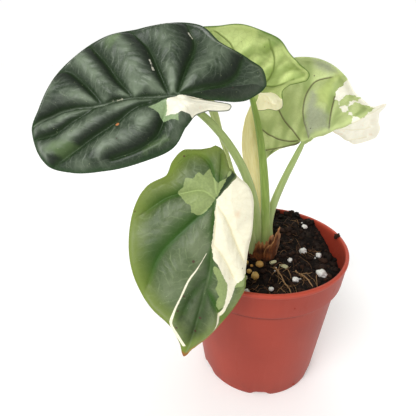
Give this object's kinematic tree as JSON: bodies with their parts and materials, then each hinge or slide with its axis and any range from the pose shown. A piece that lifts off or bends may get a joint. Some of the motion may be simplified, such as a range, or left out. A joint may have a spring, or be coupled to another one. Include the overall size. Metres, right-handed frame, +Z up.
{
  "type": "potted alocasia",
  "caption": "Small variegated alocasia with puckered dark, cream-splashed leaves on slender stalks, rooted in dark soil in a tapered terracotta-coloured nursery pot that stands on its base.",
  "frame": {"origin": "centre of the pot's flat underside, which rests on z = 0", "axes": "+Z up along the pot's axis; the plant's front, where the lowest leaf hangs, faces -Y; the large dark leaf reaches towards -X"},
  "size_m": [0.1312, 0.0902, 0.137],
  "materials": {
    "terracotta": "satin moulded plastic",
    "soil": "loose damp potting mix",
    "stem": "smooth waxy plant tissue",
    "sheath": "dry and papery",
    "stalk": "smooth waxy plant tissue",
    "dark_leaf": "glossy puckered leaf",
    "green_leaf": "glossy leaf with cream patches",
    "pale_leaf": "soft matte leaf underside",
    "young_leaf": "smooth rolled young leaf",
    "perlite": "rough white foamed grain",
    "pellet": "smooth coated fertiliser grain",
    "bark": "rough dry bark",
    "root": "fine dry root"
  },
  "bodies": {
    "root": {"pot": "terracotta", "soil": "soil", "stem_base": "stem", "sheath": "sheath", "stalk_left": "stalk", "stalk_front": "stalk", "stalk_back": "stalk", "stalk_right": "stalk", "thin_young_leaf": "stalk", "blade_left": "dark_leaf", "blade_front": "green_leaf", "blade_back": "pale_leaf", "blade_right": "pale_leaf", "furled_leaf": "young_leaf", "perlite_1": "perlite", "perlite_2": "perlite", "perlite_3": "perlite", "perlite_4": "perlite", "perlite_5": "perlite", "perlite_6": "perlite", "perlite_7": "perlite", "perlite_8": "perlite", "perlite_9": "perlite", "pellet_1": "pellet", "pellet_2": "pellet", "pellet_3": "pellet", "bark_1": "bark", "bark_2": "bark", "bark_3": "bark", "root_1": "root", "root_2": "root"}
  },
  "joints": []
}
